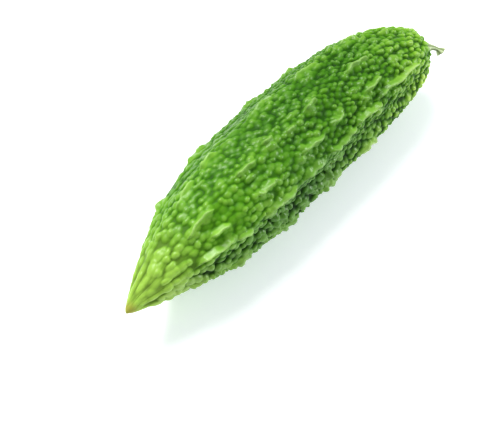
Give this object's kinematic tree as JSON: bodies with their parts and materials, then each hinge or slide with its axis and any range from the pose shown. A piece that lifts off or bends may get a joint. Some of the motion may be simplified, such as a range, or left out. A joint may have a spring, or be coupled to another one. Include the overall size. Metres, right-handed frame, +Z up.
{
  "type": "bitter gourd",
  "caption": "Whole bitter gourd as picked: a warty, ribbed fruit that tapers to a blunt blossom end, with a short stalk, lying on its side.",
  "frame": {"origin": "middle of the gourd's bounding box, on the surface it lies on", "axes": "+X along the fruit towards its stalk, +Z up"},
  "size_m": [0.2062, 0.0524, 0.0521],
  "materials": {
    "fruit_green": "waxy vivid green skin, paler on the crests, darker in the creases, yellowish at the blossom end",
    "stalk_green": "dull grey-green fibrous stalk with a paler cut end"
  },
  "bodies": {
    "root": {"gourd_fruit": "fruit_green", "gourd_stalk": "stalk_green"}
  },
  "joints": []
}
